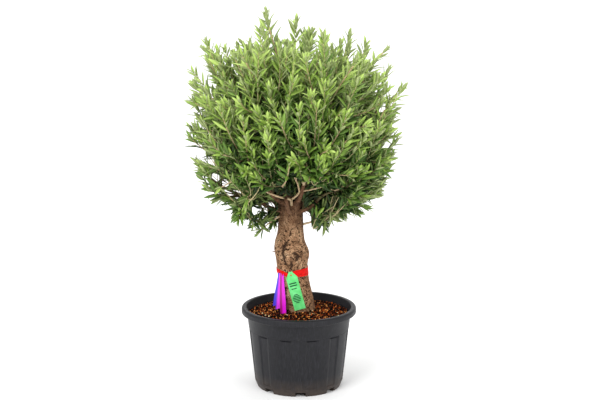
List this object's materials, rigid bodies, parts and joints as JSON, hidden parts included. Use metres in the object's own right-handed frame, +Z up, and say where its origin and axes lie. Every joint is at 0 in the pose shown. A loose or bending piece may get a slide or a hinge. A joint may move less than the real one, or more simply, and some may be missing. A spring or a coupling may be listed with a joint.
{
  "type": "potted olive tree",
  "caption": "Standard olive tree with a thick bare trunk and a dense rounded crown of narrow leaves, standing in a round ribbed nursery pot.",
  "frame": {"origin": "centre of the pot's flat underside", "axes": "+Z up along the pot's axis, -Y towards the side that carries the tag, +X to the right seen from there"},
  "size_m": [0.8157, 0.86, 1.4346],
  "materials": {
    "pot_plastic": "moulded polypropylene, satin, slightly scuffed",
    "bark_mulch": "moist bark compost with coarse chips on top",
    "olive_bark": "living bark with small dark lenticels",
    "olive_foliage": "leathery narrow leaves, green above and silvery below",
    "red_tape": "stretchy marking tape",
    "ribbon_blue": "thin marking ribbon",
    "ribbon_violet": "thin marking ribbon",
    "ribbon_magenta": "thin marking ribbon",
    "tag_plastic": "plain printed plant tag"
  },
  "bodies": {
    "root": {"bough_leader": "olive_bark", "bough_low_1": "olive_bark", "bough_low_2": "olive_bark", "bough_low_3": "olive_bark", "bough_low_4": "olive_bark", "bough_low_5": "olive_bark", "bough_low_6": "olive_bark", "bough_middle_1": "olive_bark", "bough_middle_2": "olive_bark", "bough_middle_3": "olive_bark", "bough_middle_4": "olive_bark", "bough_middle_5": "olive_bark", "bough_middle_6": "olive_bark", "bough_top_1": "olive_bark", "bough_top_2": "olive_bark", "bough_top_3": "olive_bark", "bough_top_4": "olive_bark", "bough_top_5": "olive_bark", "foliage_leader": "olive_foliage", "foliage_low_1": "olive_foliage", "foliage_low_2": "olive_foliage", "foliage_low_3": "olive_foliage", "foliage_low_4": "olive_foliage", "foliage_low_5": "olive_foliage", "foliage_low_6": "olive_foliage", "foliage_middle_1": "olive_foliage", "foliage_middle_2": "olive_foliage", "foliage_middle_3": "olive_foliage", "foliage_middle_4": "olive_foliage", "foliage_middle_5": "olive_foliage", "foliage_middle_6": "olive_foliage", "foliage_top_1": "olive_foliage", "foliage_top_2": "olive_foliage", "foliage_top_3": "olive_foliage", "foliage_top_4": "olive_foliage", "foliage_top_5": "olive_foliage", "plant_tag": "tag_plastic", "pot": "pot_plastic", "ribbon_blue": "ribbon_blue", "ribbon_magenta": "ribbon_magenta", "ribbon_violet": "ribbon_violet", "soil": "bark_mulch", "tape_band": "red_tape", "tape_knot": "red_tape", "trunk": "olive_bark"}
  },
  "joints": []
}
